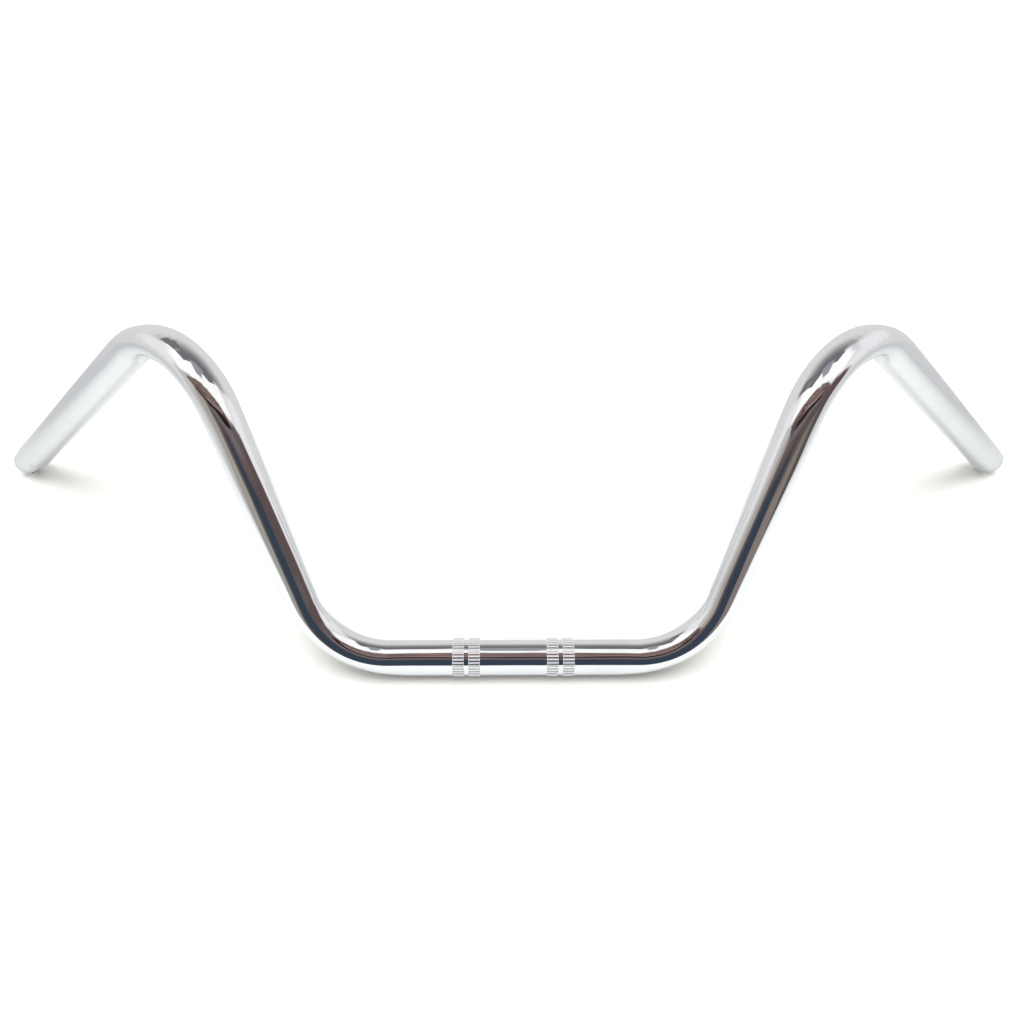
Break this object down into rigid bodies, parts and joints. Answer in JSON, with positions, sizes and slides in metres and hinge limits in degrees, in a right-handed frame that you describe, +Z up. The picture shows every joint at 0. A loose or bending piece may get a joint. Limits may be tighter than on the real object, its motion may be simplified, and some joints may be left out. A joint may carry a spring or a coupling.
{
  "type": "motorcycle handlebar",
  "caption": "One-piece buckhorn handlebar: a chromed tube that rises from a straight clamping stretch and sweeps back into two level grips.",
  "frame": {"origin": "on the tube's axis, in the middle of the clamping stretch between the two pairs of knurled bands", "axes": "+X along the bar to its right end, +Y to the back, +Z up; the bar lies as it rests on a floor, on its middle stretch and on the rims of both grips"},
  "size_m": [0.7846, 0.2174, 0.1796],
  "materials": {
    "chromed_steel": "bright chrome plate on drawn steel tube, fine handling scratches"
  },
  "bodies": {
    "root": {"handlebar": "chromed_steel"}
  },
  "joints": []
}
